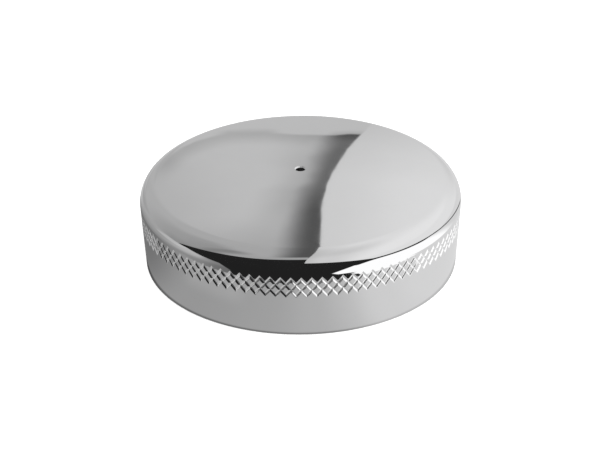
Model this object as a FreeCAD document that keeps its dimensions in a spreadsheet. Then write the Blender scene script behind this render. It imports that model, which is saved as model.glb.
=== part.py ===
import FreeCAD, Part
import math
import os
import Sketcher

# Vented bayonet fuel cap, standing on the foot of its skirt. Lengths are in millimetres.
# The origin is the centre of the foot, +Z points up through the vent hole, and the two ears
# of the lock plate lie along Y.

SIZES = [
    # Outside of the cap
    ("outer_radius", 35.0, "largest radius, at the shoulder"),
    ("crown_height", 9.3, "top of the dome above the sealing face of the gasket"),
    ("skirt_depth", 12.0, "sealing face of the gasket above the foot of the skirt"),
    ("crown_radius", 218.0, "spherical radius of the dome"),
    ("shoulder_radius", 4.5, "rounding between dome and skirt"),
    ("skirt_draft", 3.1, "slope of the skirt, in degrees"),
    ("foot_fillet", 0.4, "rounding of the foot's outer edge"),
    ("vent_radius", 1.0, "vent hole in the dome"),
    ("vent_bevel", 0.25, "bevel round the vent hole"),
    # Knurled band
    ("knurl_drop", 0.77, "upper tips of the diamonds below the start of the shoulder"),
    ("knurl_band", 3.8, "height of the band, one and a half diamonds"),
    ("knurl_count", 102, "diamonds round the cap in each row"),
    ("knurl_groove", 0.65, "width of a groove"),
    ("knurl_depth", 0.19, "depth of a groove"),
    ("knurl_border", 0.15, "plain edge above and below the band"),
    ("knurl_sink", 0.02, "lands of the band below the skirt's surface"),
    ("knurl_backing", 0.4, "solid metal of the band behind its grooves"),
    # Inside of the cap
    ("skirt_wall", 1.2, "wall of the skirt at its foot"),
    ("roof_thickness", 1.2, "wall of the dome"),
    ("ledge_width", 2.5, "ledge that stops the backing plate"),
    ("cavity_fillet", 1.0, "rounding at the edge of the air space"),
    # Backing plate
    ("plate_thickness", 0.8, "sheet of the backing plate"),
    ("plate_fit", 0.03, "gap between the plate's rim and the bore"),
    ("plate_bend", 0.4, "inside radius of the plate's bends"),
    ("rim_depth", 2.6, "rim of the plate below its underside"),
    ("channel_inner", 9.5, "inner radius of the vent channel"),
    ("channel_width", 7.0, "width of the vent channel"),
    ("channel_height", 2.0, "height of the vent channel"),
    ("inner_vent_radius", 1.3, "inner vent holes"),
    # Gasket and its cup
    ("gasket_thickness", 3.0, "thickness of the rubber ring"),
    ("gasket_width", 9.0, "rubber ring from its inner to its outer edge"),
    ("gasket_gap", 0.2, "room round the rubber ring"),
    ("gasket_rounding", 0.4, "edges of the rubber ring"),
    ("cup_thickness", 0.8, "sheet of the gasket cup"),
    ("cup_bend", 0.4, "inside radius of the cup's bends"),
    ("flange_width", 2.6, "flange of the cup, let into the gasket"),
    # Stud
    ("tenon_radius", 3.0, "riveted upper part of the stud"),
    ("head_overhang", 1.6, "upper riveted head beyond the tenon"),
    ("head_height", 1.5, "upper riveted head"),
    ("head_rounding", 1.0, "edge of the upper riveted head"),
    ("stud_radius", 3.0, "shank that guides the lock plate"),
    ("flat_depth", 0.8, "flats cut into the shank"),
    ("collar_overhang", 2.0, "collar that stops the lock plate, beyond the shank"),
    ("collar_height", 1.4, "collar under the cup"),
    ("tail_overhang", 1.2, "lower riveted head beyond the shank"),
    ("tail_height", 1.3, "lower riveted head"),
    ("tail_rounding", 0.8, "edge of the lower riveted head"),
    ("hole_gap", 0.05, "room between the stud and the holes of the fixed plates"),
    ("slide_gap", 0.1, "room between the shank and the lock plate"),
    # Lock plate
    ("lock_thickness", 1.2, "sheet of the lock plate"),
    ("lock_bend", 0.6, "inside radius of the lock plate's bends"),
    ("hub_room", 1.7, "room between the coil and the lock plate's hub"),
    ("hub_height", 4.2, "top of the hub above the ears"),
    ("brim_width", 5.4, "round brim between the ears, beyond the hub"),
    ("ear_radius", 27.5, "tips of the ears from the axis"),
    ("ear_angle", 26.0, "width of an ear, in degrees"),
    ("ear_rounding", 2.0, "corners of an ear"),
    ("ear_lead", 0.5, "bevel that leads an ear under the cam"),
    # Spring and its seat
    ("spring_length", 7.8, "height of the fitted spring"),
    ("spring_radius", 7.1, "mean radius of the coil"),
    ("spring_wire", 0.6, "radius of the wire"),
    ("spring_turns", 3.75, "turns of the coil"),
    ("seat_thickness", 0.9, "sheet of the spring seat"),
    ("seat_bend", 0.2, "inside radius of the seat's bend"),
    ("seat_gap", 0.3, "room between the coil and the rim of its seat"),
    ("seat_rim", 0.9, "rim of the seat above its floor"),
]

ORIGIN = FreeCAD.Vector(0, 0, 0)
SPOKE = FreeCAD.Vector(1, 0, 0)
UP = FreeCAD.Vector(0, 0, 1)
FULL_TURN = 360
START, END, CENTRE = range(1, 4)
X_AXIS, Y_AXIS = range(-1, -3, -1)
TOUCH = 0.001
EDGE_SAMPLES = 5
KNURL_LEVELS = 3
DIAMOND_LEVELS = 2
EARS = 2


class Term:
    """A number together with the sheet's expression for it."""

    def __init__(self, value, text):
        self.value = value
        self.text = text

    def __add__(self, other):
        return Term(self.value + number(other), f"({self.text} + {wording(other)})")

    def __sub__(self, other):
        return Term(self.value - number(other), f"({self.text} - {wording(other)})")

    def __mul__(self, other):
        return Term(self.value * number(other), f"({self.text} * {wording(other)})")

    def __truediv__(self, other):
        return Term(self.value / number(other), f"({self.text} / {wording(other)})")


def number(term):
    return term.value if isinstance(term, Term) else float(term)


def wording(term):
    return term.text if isinstance(term, Term) else str(term)


def square_root(term):
    return Term(math.sqrt(term.value), f"sqrt({term.text})")


def cosine(angle):
    return Term(math.cos(math.radians(angle.value)), f"cos({angle.text} * 1 deg)")


def sine(angle):
    return Term(math.sin(math.radians(angle.value)), f"sin({angle.text} * 1 deg)")


def tangent(angle):
    return Term(math.tan(math.radians(angle.value)), f"tan({angle.text} * 1 deg)")


doc = FreeCAD.newDocument("vented_fuel_cap")
sheet = doc.addObject("Spreadsheet::Sheet", "Sizes")
for row, (alias, value, meaning) in enumerate(SIZES, start=1):
    sheet.set(f"A{row}", meaning)
    sheet.set(f"B{row}", str(value))
    sheet.setAlias(f"B{row}", alias)
doc.recompute()


def size(alias):
    return Term(float(sheet.get(alias)), f"Sizes.{alias}")


# Levels above the foot
gasket_face = size("skirt_depth")
total_height = gasket_face + size("crown_height")
plate_under = gasket_face + size("gasket_thickness")
plate_top = plate_under + size("plate_thickness")
cup_under = plate_under - size("cup_thickness")
hub_top = cup_under - size("collar_height")
hub_under = hub_top - size("lock_thickness")
ear_top = hub_top - size("hub_height")
ear_under = ear_top - size("lock_thickness")
seat_top = hub_under - size("spring_length")
seat_under = seat_top - size("seat_thickness")
stud_end = seat_under - size("tail_height")

# The dome's sphere, and the circle of the shoulder that is tangent to it
crown_centre = total_height - size("crown_radius")
roof_radius = size("crown_radius") - size("roof_thickness")
shoulder_x = size("outer_radius") - size("shoulder_radius")
shoulder_reach = size("crown_radius") - size("shoulder_radius")
shoulder_z = crown_centre + square_root(shoulder_reach * shoulder_reach - shoulder_x * shoulder_x)

# The skirt's slope, tangent to the shoulder and carried down to the foot
flank_x = shoulder_x + size("shoulder_radius") * cosine(size("skirt_draft"))
flank_z = shoulder_z - size("shoulder_radius") * sine(size("skirt_draft"))
foot_radius = flank_x - flank_z * tangent(size("skirt_draft"))

# The bore, and above its ledge the air space under the dome
bore_radius = foot_radius - size("skirt_wall")
cavity_radius = bore_radius - size("ledge_width")
roof_edge = crown_centre + square_root(roof_radius * roof_radius - cavity_radius * cavity_radius)

# The plate's rim, the gasket inside it, the cup inside the gasket, the holes for the stud
rim_outer = bore_radius - size("plate_fit")
rim_inner = rim_outer - size("plate_thickness")
gasket_outer = rim_inner - size("gasket_gap")
gasket_inner = gasket_outer - size("gasket_width")
cup_radius = gasket_inner - size("gasket_gap")
cup_flange = cup_radius + size("flange_width")
flange_top = gasket_face + size("cup_thickness")
tenon_hole = size("tenon_radius") + size("hole_gap")
shank_hole = size("stud_radius") + size("hole_gap")
vent_offset = size("channel_inner") + size("channel_width") / 2

# The flats of the shank, and the lock plate's hub round the spring
stud_flat = size("stud_radius") - size("flat_depth")
coil_outer = size("spring_radius") + size("spring_wire")
hub_radius = coil_outer + size("hub_room") + size("lock_thickness")
brim_radius = hub_radius + size("brim_width")


def skirt_radius(height):
    return foot_radius + height * tangent(size("skirt_draft"))


# The knurled band: three crossings high, with a plain edge above and below
knurl_rise = size("knurl_band") / KNURL_LEVELS
knurl_low = flank_z - size("knurl_drop") - size("knurl_band")
knurl_half_pitch = skirt_radius(knurl_low) * math.pi / size("knurl_count")
knurl_side = square_root(knurl_half_pitch * knurl_half_pitch + knurl_rise * knurl_rise)
knurl_tip = size("knurl_groove") * knurl_side / knurl_half_pitch / 2
band_bottom = knurl_low - knurl_tip - size("knurl_border")
band_top = knurl_low + size("knurl_band") + knurl_tip + size("knurl_border")
band_inner = (
    skirt_radius(band_bottom) - size("knurl_sink") - size("knurl_depth") - size("knurl_backing")
)
band_seat = band_inner + size("knurl_backing") / 2


def origin_feature(body, role):
    return next(item for item in body.Origin.OriginFeatures if item.Role == role)


def new_body(label):
    body = doc.addObject("PartDesign::Body", label)
    body.Label = label
    body.Placement = FreeCAD.Placement(ORIGIN, FreeCAD.Rotation())
    return body


def new_sketch(body, name, role, height=None):
    """Sketch on an origin plane of the body, lifted to a height where one is given."""
    sketch = body.newObject("Sketcher::SketchObject", name)
    sketch.AttachmentSupport = [(origin_feature(body, role), "")]
    sketch.MapMode = "FlatFace"
    if height is not None:
        sketch.AttachmentOffset = FreeCAD.Placement(UP * height.value, FreeCAD.Rotation())
        sketch.setExpression(".AttachmentOffset.Base.z", height.text)
    return sketch


def constrain(sketch, *constraint):
    return sketch.addConstraint(Sketcher.Constraint(*constraint))


def bind(sketch, term, *constraint):
    """Add a constraint whose value follows the sheet."""
    index = constrain(sketch, *constraint, term.value)
    sketch.setExpression(f"Constraints[{index}]", term.text)


def place(sketch, geometry, point, x, y):
    """Fix a point of the sketch at x and y. A zero puts it on that axis."""
    for term, kind, axis in ((x, "DistanceX", Y_AXIS), (y, "DistanceY", X_AXIS)):
        if isinstance(term, Term):
            bind(sketch, term, kind, X_AXIS, START, geometry, point)
        else:
            constrain(sketch, "PointOnObject", geometry, point, axis)


def corner_arc(before, corner, after, radius):
    """Start, middle and end of the arc that rounds a corner."""
    arm_in = (before - corner).normalize()
    arm_out = (after - corner).normalize()
    half = arm_in.getAngle(arm_out) / 2
    reach = radius / math.tan(half)
    centre = corner + (arm_in + arm_out).normalize() * (radius / math.sin(half))
    middle = centre + (corner - centre).normalize() * radius
    return corner + arm_in * reach, middle, corner + arm_out * reach


def outline(sketch, corners):
    """Closed outline of straight lines. A corner is x, y and, where it is rounded, a radius."""
    points = [FreeCAD.Vector(number(corner[0]), number(corner[1]), 0) for corner in corners]
    count = len(points)
    arcs = {}
    for index, (_, _, *rounding) in enumerate(corners):
        if rounding:
            following = points[(index + 1) % count]
            arcs[index] = corner_arc(points[index - 1], points[index], following, rounding[0].value)
    for index in range(count):
        following = (index + 1) % count
        first = arcs[index][2] if index in arcs else points[index]
        last = arcs[following][0] if following in arcs else points[following]
        sketch.addGeometry(Part.LineSegment(first, last))
    for index, corner in enumerate(corners):
        line_in = (index - 1) % count
        if index in arcs:
            following = points[(index + 1) % count]
            round_corner(sketch, line_in, index, corner, arcs[index])
        else:
            constrain(sketch, "Coincident", line_in, END, index, START)
            place(sketch, index, START, corner[0], corner[1])


def round_corner(sketch, line_in, line_out, corner, ends):
    """Arc between two lines, which meet at the corner if they are carried on."""
    apex = sketch.addGeometry(Part.Point(FreeCAD.Vector(corner[0].value, corner[1].value, 0)), True)
    place(sketch, apex, START, corner[0], corner[1])
    for line in (line_in, line_out):
        constrain(sketch, "PointOnObject", apex, START, line)
    first, middle, last = ends
    arc = sketch.addGeometry(Part.Arc(first, middle, last))
    turns_left = (middle - first).cross(last - middle).z > 0
    arc_in, arc_out = (START, END) if turns_left else (END, START)
    constrain(sketch, "Tangent", line_in, END, arc, arc_in)
    constrain(sketch, "Tangent", line_out, START, arc, arc_out)
    bind(sketch, corner[2], "Radius", arc)


def turned(body, name, corners, kind="PartDesign::Revolution", plane="XZ_Plane", angle=None):
    """Turn an outline of radius and height about the axis, fully or by an angle each way."""
    sketch = new_sketch(body, f"{name}_section", plane)
    outline(sketch, corners)
    return turned_sketch(body, name, sketch, kind, angle)


def turned_sketch(body, name, sketch, kind="PartDesign::Revolution", angle=None):
    feature = body.newObject(kind, name)
    feature.Profile = sketch
    feature.ReferenceAxis = (sketch, ["V_Axis"])
    feature.Angle = FULL_TURN
    if angle is not None:
        feature.Midplane = True
        feature.Angle = angle.value
        feature.setExpression("Angle", angle.text)
    return feature


def drilled(body, name, side, distance, radius):
    """Hole right through the body, parallel to the axis, on the +X side (1) or the -X side (-1)."""
    sketch = new_sketch(body, f"{name}_circle", "XY_Plane")
    centre = SPOKE * side * number(distance)
    circle = sketch.addGeometry(Part.Circle(centre, UP, radius.value))
    if isinstance(distance, Term):
        ends = ((X_AXIS, START), (circle, CENTRE))[::side]
        bind(sketch, distance, "DistanceX", *ends[0], *ends[1])
        constrain(sketch, "PointOnObject", circle, CENTRE, X_AXIS)
    else:
        constrain(sketch, "Coincident", circle, CENTRE, X_AXIS, START)
    bind(sketch, radius, "Radius", circle)
    return cut_through(body, name, sketch)


def cut_through(body, name, sketch):
    pocket = body.newObject("PartDesign::Pocket", name)
    pocket.Profile = sketch
    pocket.Type = "ThroughAll"
    pocket.Midplane = True
    return pocket


def ring_edge(feature, radius, height):
    """Name of the edge that runs round the axis at this radius and height."""
    for index, edge in enumerate(feature.Shape.Edges, start=1):
        if edge.Degenerated:
            continue
        samples = edge.discretize(EDGE_SAMPLES)
        off_radius = max(abs(math.hypot(point.x, point.y) - radius.value) for point in samples)
        off_height = max(abs(point.z - height.value) for point in samples)
        if max(off_radius, off_height) < TOUCH:
            return f"Edge{index}"
    raise ValueError(f"{feature.Label} has no ring edge of radius {radius.value}")


def fillet(body, name, base, edges, radius):
    feature = body.newObject("PartDesign::Fillet", name)
    feature.Base = (base, edges)
    feature.Radius = radius.value
    feature.setExpression("Radius", radius.text)
    return feature


def chamfer(body, name, base, edges, width):
    feature = body.newObject("PartDesign::Chamfer", name)
    feature.Base = (base, edges)
    feature.Size = width.value
    feature.setExpression("Size", width.text)
    return feature


def double_d(sketch, radius, flat):
    """Round outline with two flats, square to Y."""
    half_width = math.sqrt(radius.value ** 2 - flat.value ** 2)
    right_low = FreeCAD.Vector(half_width, -flat.value, 0)
    right_high = FreeCAD.Vector(half_width, flat.value, 0)
    left_high = FreeCAD.Vector(-half_width, flat.value, 0)
    left_low = FreeCAD.Vector(-half_width, -flat.value, 0)
    right = sketch.addGeometry(Part.Arc(right_low, SPOKE * radius.value, right_high))
    top = sketch.addGeometry(Part.LineSegment(right_high, left_high))
    left = sketch.addGeometry(Part.Arc(left_high, SPOKE * -radius.value, left_low))
    bottom = sketch.addGeometry(Part.LineSegment(left_low, right_low))
    chain = (right, top, left, bottom)
    for first, second in zip(chain, chain[1:] + chain[:1]):
        constrain(sketch, "Coincident", first, END, second, START)
    for arc in (right, left):
        constrain(sketch, "Coincident", arc, CENTRE, X_AXIS, START)
    for line in (top, bottom):
        constrain(sketch, "Horizontal", line)
    bind(sketch, radius, "Radius", right)
    bind(sketch, flat, "DistanceY", X_AXIS, START, top, START)
    bind(sketch, flat, "DistanceY", bottom, START, X_AXIS, START)


def vector(x, y):
    return FreeCAD.Vector(number(x), number(y), 0)


def arc_about(sketch, centre, radius, first, last):
    middle = centre + ((first + last) / 2 - centre).normalize() * radius.value
    return sketch.addGeometry(Part.Arc(first, middle, last))


def shell_section(sketch):
    """Dome, shoulder and sloping skirt outside; bore, ledge for the plate and air space inside."""
    crown, shoulder = size("crown_radius"), size("shoulder_radius")
    sphere = vector(0, crown_centre)
    swing = vector(shoulder_x, shoulder_z)
    blend = sphere + (swing - sphere).normalize() * crown.value
    flank = vector(flank_x, flank_z)
    summit, ceiling = vector(0, total_height), sphere + vector(0, roof_radius)
    roof_end, cavity_end = vector(cavity_radius, roof_edge), vector(cavity_radius, plate_top)
    bore_end, bore_foot = vector(bore_radius, plate_top), vector(bore_radius, 0)
    foot = vector(foot_radius, 0)

    dome = arc_about(sketch, sphere, crown, blend, summit)
    axis = sketch.addGeometry(Part.LineSegment(summit, ceiling))
    roof = arc_about(sketch, sphere, roof_radius, roof_end, ceiling)
    wall = sketch.addGeometry(Part.LineSegment(roof_end, cavity_end))
    ledge = sketch.addGeometry(Part.LineSegment(cavity_end, bore_end))
    bored = sketch.addGeometry(Part.LineSegment(bore_end, bore_foot))
    sole = sketch.addGeometry(Part.LineSegment(bore_foot, foot))
    skirt = sketch.addGeometry(Part.LineSegment(foot, flank))
    turn = arc_about(sketch, swing, shoulder, flank, blend)

    constrain(sketch, "Coincident", dome, END, axis, START)
    constrain(sketch, "Coincident", axis, END, roof, END)
    constrain(sketch, "Coincident", roof, START, wall, START)
    for first, second in ((wall, ledge), (ledge, bored), (bored, sole), (sole, skirt)):
        constrain(sketch, "Coincident", first, END, second, START)
    constrain(sketch, "Tangent", skirt, END, turn, START)
    constrain(sketch, "Tangent", turn, END, dome, START)
    constrain(sketch, "Coincident", roof, CENTRE, dome, CENTRE)
    for geometry, point in ((dome, END), (dome, CENTRE), (roof, END)):
        constrain(sketch, "PointOnObject", geometry, point, Y_AXIS)
    for geometry, point in ((bored, END), (skirt, START)):
        constrain(sketch, "PointOnObject", geometry, point, X_AXIS)
    for side in (wall, bored):
        constrain(sketch, "Vertical", side)
    constrain(sketch, "Horizontal", ledge)
    bind(sketch, total_height, "DistanceY", X_AXIS, START, dome, END)
    bind(sketch, plate_top, "DistanceY", X_AXIS, START, ledge, END)
    bind(sketch, bore_radius, "DistanceX", X_AXIS, START, bored, END)
    bind(sketch, cavity_radius, "DistanceX", X_AXIS, START, wall, END)
    bind(sketch, shoulder_x, "DistanceX", X_AXIS, START, turn, CENTRE)
    bind(sketch, crown, "Radius", dome)
    bind(sketch, roof_radius, "Radius", roof)
    bind(sketch, shoulder, "Radius", turn)
    draft = size("skirt_draft")
    lean = Term(math.radians(90 + draft.value), f"(90 deg + {draft.text} * 1 deg)")
    bind(sketch, lean, "Angle", skirt, START, sole, END)


def build_shell_blank():
    """The shell with a plain recess where its knurled band goes."""
    body = new_body("shell_blank")
    section = new_sketch(body, "shell_section", "XZ_Plane")
    shell_section(section)
    blank = turned_sketch(body, "shell_turned", section)
    doc.recompute()
    inside = ring_edge(blank, cavity_radius, roof_edge)
    blank = fillet(body, "cavity_rounding", blank, [inside], size("cavity_fillet"))
    doc.recompute()
    foot = ring_edge(blank, foot_radius, Term(0, "0"))
    fillet(body, "foot_rounding", blank, [foot], size("foot_fillet"))
    vent = size("vent_radius")
    blank = drilled(body, "vent_hole", 1, 0, vent)
    doc.recompute()
    crown = size("crown_radius")
    vent_height = crown_centre + square_root(crown * crown - vent * vent)
    chamfer(body, "vent_rim", blank, [ring_edge(blank, vent, vent_height)], size("vent_bevel"))
    beyond = size("outer_radius") + size("shoulder_radius")
    turned(body, "band_recess", [
        (band_seat, band_bottom), (beyond, band_bottom), (beyond, band_top), (band_seat, band_top),
    ], kind="PartDesign::Groove")
    return body


def polar(angle, radius, height):
    return FreeCAD.Vector(radius * math.sin(angle), radius * math.cos(angle), height)


def swung(point, angle):
    """The point turned about the axis."""
    across, along = math.cos(angle), math.sin(angle)
    return FreeCAD.Vector(
        point.x * across + point.y * along, point.y * across - point.x * along, point.z
    )


def plane_through(first, second, third):
    normal = (second - first).cross(third - first)
    return normal, normal.dot(first)


def planes_meet(one, two, three):
    """The point that lies on three planes."""
    crossed = two[0].cross(three[0]) * one[1]
    crossed += three[0].cross(one[0]) * two[1]
    crossed += one[0].cross(two[0]) * three[1]
    return crossed / one[0].dot(two[0].cross(three[0]))


class Knurl:
    """Flat diamonds with V grooves between them, in two staggered rows round the skirt.

    The bottoms of the grooves cross on four levels. Each diamond is worked out at angle zero,
    all its faces are flat, and it is then swung round the axis.
    """

    def __init__(self):
        self.count = int(round(size("knurl_count").value))
        self.step = math.pi / self.count

    def land(self, height):
        return skirt_radius(Term(height, "")).value - size("knurl_sink").value

    def crossing(self, angle, level):
        height = knurl_low.value + level * knurl_rise.value
        return polar(angle, self.land(height) - size("knurl_depth").value, height)

    def diamond(self, level):
        """The land of a diamond and the four groove walls round it."""
        low, high = self.crossing(0, level), self.crossing(0, level + DIAMOND_LEVELS)
        right, left = self.crossing(self.step, level + 1), self.crossing(-self.step, level + 1)
        bottom_z, top_z = low.z + knurl_tip.value, high.z - knurl_tip.value
        bottom, top = polar(0, self.land(bottom_z), bottom_z), polar(0, self.land(top_z), top_z)
        land = plane_through(bottom, top, top + SPOKE)
        lower, upper = plane_through(low, right, bottom), plane_through(right, high, top)
        east = planes_meet(lower, upper, land)
        west = FreeCAD.Vector(-east.x, east.y, east.z)
        return [
            (bottom, east, top, west),
            (low, right, east, bottom), (right, high, top, east),
            (high, left, west, top), (left, low, bottom, west),
        ]

    def border(self, level, inner_level, side, end):
        """Zigzag edge of the band at one crossing: groove walls and the plain strip beyond."""
        corner, valley = self.crossing(0, level), self.crossing(self.step, inner_level)
        peak_z = corner.z + side * knurl_tip.value
        peak = polar(0, self.land(peak_z), peak_z)
        normal, distance = plane_through(corner, valley, peak)
        sole, crest = polar(self.step, self.land(0), 0), polar(self.step, self.land(end), end)
        slope = crest - sole
        dip = sole + slope * ((distance - normal.dot(sole)) / normal.dot(slope))
        peak_end, dip_end = polar(0, self.land(end), end), crest
        right = [(corner, valley, dip, peak), (peak, dip, dip_end, peak_end)]
        left = [tuple(FreeCAD.Vector(-p.x, p.y, p.z) for p in quad) for quad in right]
        return right + left

    def end_face(self, height):
        """Flat end of the band, from its many-sided outside to its round inside."""
        corners = [polar(self.step * i, self.land(height), height) for i in range(2 * self.count)]
        rim = Part.makePolygon(corners + corners[:1])
        hole = Part.Wire(Part.makeCircle(band_inner.value, UP * height))
        return Part.Face([rim, hole])

    def solid(self):
        bottom, top = band_bottom.value, band_top.value
        lower = self.diamond(0) + self.border(0, 1, -1, bottom)
        upper = self.diamond(1) + self.border(KNURL_LEVELS, KNURL_LEVELS - 1, 1, top)
        faces = [self.end_face(bottom), self.end_face(top)]
        tube = Part.makeCylinder(band_inner.value, top - bottom, UP * bottom)
        faces += [face for face in tube.Faces if isinstance(face.Surface, Part.Cylinder)]
        for index in range(self.count):
            for quads, half_steps in ((lower, 1), (upper, 0)):
                angle = self.step * (2 * index + half_steps)
                for quad in quads:
                    corners = [swung(point, angle) for point in quad]
                    faces.append(Part.Face(Part.makePolygon(corners + corners[:1])))
        shell = Part.makeShell(faces)
        shell.sewShape()
        band = Part.Solid(shell)
        if band.Volume < 0:
            band.reverse()
        return band


def build_cap_shell():
    blank = build_shell_blank()
    band = doc.addObject("Part::Feature", "knurled_band")
    band.Shape = Knurl().solid()
    band.Placement = FreeCAD.Placement(ORIGIN, FreeCAD.Rotation())
    shell = doc.addObject("Part::Fuse", "cap_shell")
    shell.Base = blank
    shell.Tool = band
    shell.Label = "cap_shell"
    return shell


def build_backing_plate():
    """Pressed pan. Its ring channel joins the hole in the plate to the hole in the cup."""
    sheet_metal, bend = size("plate_thickness"), size("plate_bend")
    outside = bend + sheet_metal
    inner, outer = size("channel_inner"), size("channel_inner") + size("channel_width")
    channel_under, channel_top = plate_under + size("channel_height"), plate_top + size("channel_height")
    rim_end = plate_under - size("rim_depth")
    body = new_body("backing_plate")
    turned(body, "plate_pressing", [
        (tenon_hole, plate_under), (inner, plate_under, outside), (inner, channel_under, bend),
        (outer, channel_under, bend), (outer, plate_under, outside), (rim_inner, plate_under, bend),
        (rim_inner, rim_end), (rim_outer, rim_end), (rim_outer, plate_top, outside),
        (outer + sheet_metal, plate_top, bend), (outer + sheet_metal, channel_top, outside),
        (inner - sheet_metal, channel_top, outside), (inner - sheet_metal, plate_top, bend),
        (tenon_hole, plate_top),
    ])
    drilled(body, "plate_vent", 1, vent_offset, size("inner_vent_radius"))
    return body


def build_sealing_gasket():
    """Rubber ring. A step in its inner edge takes the cup's flange, flush with the sealing face."""
    edge = size("gasket_rounding")
    step = cup_flange + size("gasket_gap")
    body = new_body("sealing_gasket")
    turned(body, "gasket_ring", [
        (gasket_inner, flange_top, edge), (step, flange_top), (step, gasket_face, edge),
        (gasket_outer, gasket_face, edge), (gasket_outer, plate_under, edge),
        (gasket_inner, plate_under, edge),
    ])
    return body


def build_gasket_cup():
    """Top-hat pressing under the plate. Its flange carries the inner edge of the gasket."""
    sheet_metal, bend = size("cup_thickness"), size("cup_bend")
    outside = bend + sheet_metal
    inside = cup_radius - sheet_metal
    body = new_body("gasket_cup")
    turned(body, "cup_pressing", [
        (tenon_hole, cup_under), (inside, cup_under, bend), (inside, gasket_face, outside),
        (cup_flange, gasket_face), (cup_flange, flange_top), (cup_radius, flange_top, bend),
        (cup_radius, plate_under, outside), (tenon_hole, plate_under),
    ])
    drilled(body, "cup_vent", -1, vent_offset, size("inner_vent_radius"))
    return body


def build_centre_stud():
    """Turned stud: riveted head, tenon through plate and cup, collar, flatted shank, riveted tail."""
    tenon, shank_radius = size("tenon_radius"), size("stud_radius")
    head, head_top = tenon + size("head_overhang"), plate_top + size("head_height")
    collar, tail = shank_radius + size("collar_overhang"), shank_radius + size("tail_overhang")
    body = new_body("centre_stud")
    turned(body, "stud_upper", [
        (0, hub_top), (collar, hub_top), (collar, cup_under), (tenon, cup_under),
        (tenon, plate_top), (head, plate_top), (head, head_top, size("head_rounding")),
        (0, head_top),
    ])
    shank_section = new_sketch(body, "shank_section", "XY_Plane", seat_under)
    double_d(shank_section, shank_radius, stud_flat)
    shank = body.newObject("PartDesign::Pad", "shank")
    shank.Profile = shank_section
    shank_length = hub_top - seat_under
    shank.Length = shank_length.value
    shank.setExpression("Length", shank_length.text)
    turned(body, "stud_tail", [
        (0, stud_end), (tail, stud_end, size("tail_rounding")), (tail, seat_under),
        (0, seat_under),
    ])
    return body


def ear_edges(feature, upright):
    """Edges at the corners of the ears, or along their upper sides."""
    found = []
    for index, edge in enumerate(feature.Shape.Edges, start=1):
        if edge.Degenerated or not isinstance(edge.Curve, Part.Line):
            continue
        ends = [vertex.Point for vertex in edge.Vertexes]
        reach = [math.hypot(point.x, point.y) for point in ends]
        height = [point.z for point in ends]
        stands = max(reach) - min(reach) < TOUCH
        at_tip = abs(max(reach) - size("ear_radius").value) < TOUCH
        on_top = min(height) > ear_top.value - TOUCH and max(height) < ear_top.value + TOUCH
        if (upright and stands and at_tip) or (not upright and on_top and not stands):
            found.append(f"Edge{index}")
    return found


def build_lock_plate():
    """Pressed hat that slides on the shank, with two ears for the cams of the filler neck."""
    sheet_metal, bend = size("lock_thickness"), size("lock_bend")
    outside = bend + sheet_metal
    hub_inner = hub_radius - sheet_metal
    body = new_body("lock_plate")
    turned(body, "lock_pressing", [
        (0, hub_under), (hub_inner, hub_under, bend), (hub_inner, ear_under, outside),
        (brim_radius, ear_under), (brim_radius, ear_top), (hub_radius, ear_top, bend),
        (hub_radius, hub_top, outside), (0, hub_top),
    ])
    ear_root, ear_tip = brim_radius - sheet_metal, size("ear_radius")
    ear = turned(body, "ear", [
        (ear_root, ear_under), (ear_tip, ear_under), (ear_tip, ear_top), (ear_root, ear_top),
    ], plane="YZ_Plane", angle=size("ear_angle"))
    doc.recompute()
    ears = body.newObject("PartDesign::PolarPattern", "ears")
    ears.Originals = [ear]
    ears.Axis = (origin_feature(body, "Z_Axis"), [""])
    ears.Angle = FULL_TURN
    ears.Occurrences = EARS
    body.Tip = ears
    doc.recompute()
    rounded = fillet(body, "ear_corners", ears, ear_edges(ears, True), size("ear_rounding"))
    doc.recompute()
    chamfer(body, "ear_leads", rounded, ear_edges(rounded, False), size("ear_lead"))
    keyhole = new_sketch(body, "keyhole_section", "XY_Plane")
    double_d(keyhole, size("stud_radius") + size("slide_gap"), stud_flat + size("slide_gap"))
    cut_through(body, "keyhole", keyhole)
    return body


def build_lock_spring():
    """Coil of round wire with its ends ground flat."""
    coil, wire = size("spring_radius"), size("spring_wire")
    body = new_body("lock_spring")
    wire_section = new_sketch(body, "wire_section", "XZ_Plane")
    circle = wire_section.addGeometry(Part.Circle(vector(coil, seat_top), UP, wire.value))
    place(wire_section, circle, CENTRE, coil, seat_top)
    bind(wire_section, wire, "Radius", circle)
    helix = body.newObject("PartDesign::AdditiveHelix", "coil")
    helix.Profile = wire_section
    helix.ReferenceAxis = (wire_section, ["V_Axis"])
    helix.Mode = "height-turns-angle"
    helix.Height = size("spring_length").value
    helix.setExpression("Height", size("spring_length").text)
    helix.Turns = size("spring_turns").value
    helix.setExpression("Turns", size("spring_turns").text)
    outside = coil_outer + wire
    grindings = (("ground_foot", seat_top - wire * 2, seat_top),
                 ("ground_head", hub_under, hub_under + wire * 2))
    for name, low, high in grindings:
        turned(body, name, [(0, low), (outside, low), (outside, high), (0, high)],
               kind="PartDesign::Groove")
    return body


def build_spring_seat():
    """Dished washer that carries the spring on the riveted tail of the stud."""
    sheet_metal, bend = size("seat_thickness"), size("seat_bend")
    rim = coil_outer + size("seat_gap")
    rim_top = seat_top + size("seat_rim")
    body = new_body("spring_seat")
    turned(body, "seat_pressing", [
        (shank_hole, seat_under), (rim + sheet_metal, seat_under, bend + sheet_metal),
        (rim + sheet_metal, rim_top), (rim, rim_top), (rim, seat_top, bend), (shank_hole, seat_top),
    ])
    return body


sub_parts = [
    build_cap_shell(),
    build_backing_plate(),
    build_sealing_gasket(),
    build_gasket_cup(),
    build_centre_stud(),
    build_lock_plate(),
    build_lock_spring(),
    build_spring_seat(),
]
doc.recompute()

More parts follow.
